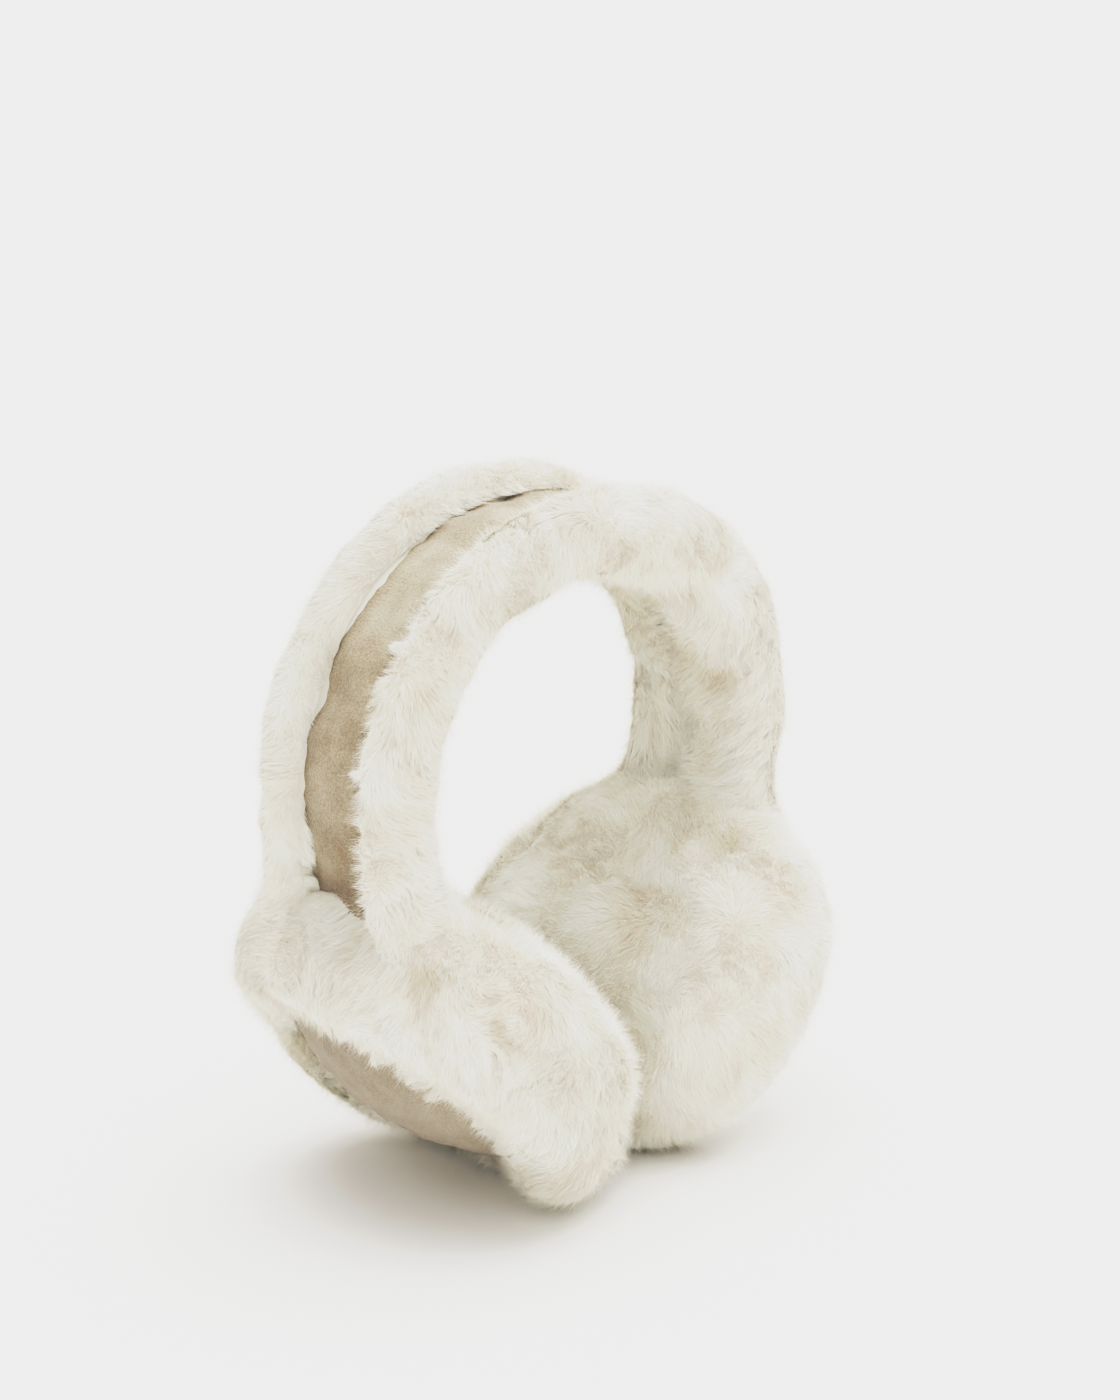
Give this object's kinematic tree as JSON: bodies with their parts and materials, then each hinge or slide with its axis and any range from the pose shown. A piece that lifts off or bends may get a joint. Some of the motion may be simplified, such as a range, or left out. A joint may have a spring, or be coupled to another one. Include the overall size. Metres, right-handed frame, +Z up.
{
  "type": "earmuffs",
  "caption": "Fur earmuffs: an arched fur-covered headband with a sunk suede strip, and deep round fur ear cups with domed suede outer discs, standing on the rims of the cups.",
  "frame": {"origin": "on the ground, midway between the cups, at the centre of the whole object's footprint", "axes": "+Z up to the crown of the band, X from ear to ear with -X at the wearer's left cup, +Y where the wearer looks"},
  "size_m": [0.181, 0.1137, 0.1909],
  "materials": {
    "fur": "dense short cream faux fur, soft and matt",
    "suede": "beige suede with a fine matt nap"
  },
  "bodies": {
    "root": {"band_fur": "fur", "band_strip": "suede", "ear_ring_left": "fur", "ear_ring_right": "fur", "ear_pad_left": "fur", "ear_pad_right": "fur", "ear_disc_left": "suede", "ear_disc_right": "suede"}
  },
  "joints": []
}
